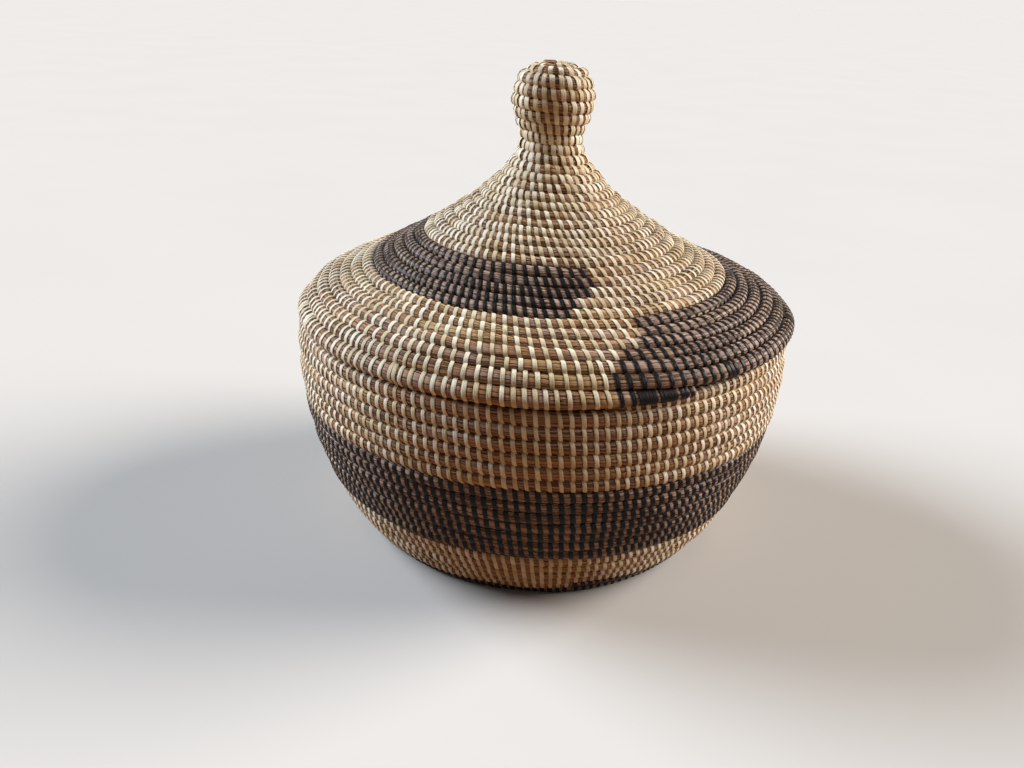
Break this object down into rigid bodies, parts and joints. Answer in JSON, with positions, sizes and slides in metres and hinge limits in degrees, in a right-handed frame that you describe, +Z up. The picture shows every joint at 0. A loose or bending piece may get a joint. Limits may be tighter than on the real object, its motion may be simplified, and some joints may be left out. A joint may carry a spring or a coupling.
{
  "type": "coiled grass basket with lid",
  "caption": "Round-bellied coiled grass basket with a conical lift-off lid and a knob, sewn with pale strips and dark bands.",
  "frame": {"origin": "centre of the flat underside, on the surface that the basket stands on", "axes": "+Z up along the basket's middle line, -Y towards the front, where the two coils end"},
  "size_m": [0.3794, 0.3807, 0.3579],
  "materials": {
    "cream_sewn_grass": "brown grass bundle oversewn with flat cream strips",
    "black_sewn_grass": "brown grass bundle oversewn with glossy black strips",
    "bare_grass": "cut ends of dry brown grass stalks"
  },
  "bodies": {
    "basket": {"floor_coil": "cream_sewn_grass", "foot_coil": "black_sewn_grass", "lower_wall_coil": "cream_sewn_grass", "dark_band_coil": "black_sewn_grass", "upper_wall_coil": "cream_sewn_grass", "rim_coil": "cream_sewn_grass"},
    "lid": {"lid_edge_coil": "cream_sewn_grass", "lid_outer_coil": "cream_sewn_grass", "lid_middle_coil": "cream_sewn_grass", "lid_upper_coil": "cream_sewn_grass", "lid_knob_coil": "cream_sewn_grass", "lid_locating_ring": "cream_sewn_grass", "knob_core": "bare_grass"}
  },
  "joints": [
    {"name": "lid_lift", "type": "slide", "parent": "basket", "child": "lid", "axis": [0, 0, 1], "range_m": [0, 0.2]}
  ]
}
